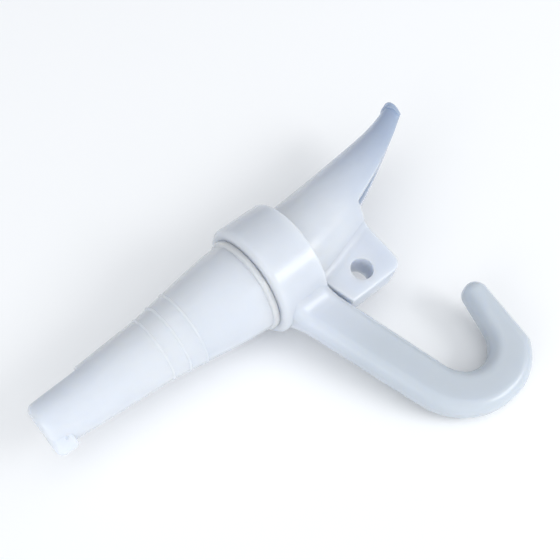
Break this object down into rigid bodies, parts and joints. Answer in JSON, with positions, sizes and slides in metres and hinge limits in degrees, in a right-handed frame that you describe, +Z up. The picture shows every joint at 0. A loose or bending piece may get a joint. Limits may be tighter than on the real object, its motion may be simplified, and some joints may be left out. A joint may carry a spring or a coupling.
{
  "type": "sap spout with bucket hook",
  "caption": "Moulded tapping spout for tree sap: tapered hollow nose, open drip trough, lid fin and a swivelling hook that carries the bucket.",
  "frame": {"origin": "centre of the sap inlet's mouth, in the end face of the tapered nose", "axes": "+X runs along the spout's axis from the nose to the drip lip; +Z is up, square to the bench the part lies on; the fin and the hook lie towards -Y, dipping 13 and 11 degrees below it"},
  "size_m": [0.0853, 0.0547, 0.0202],
  "materials": {
    "spout_body": "translucent bluish-white moulded plastic, satin gloss",
    "bucket_hook": "translucent bluish-white moulded plastic, satin gloss"
  },
  "bodies": {
    "spout": {"spout_body": "spout_body"},
    "hook": {"bucket_hook": "bucket_hook"}
  },
  "joints": [
    {"name": "hook_swivel", "type": "hinge", "parent": "spout", "child": "hook", "pos_m": [0.044, 0, 0], "axis": [-1, 0, 0], "continuous": true}
  ]
}
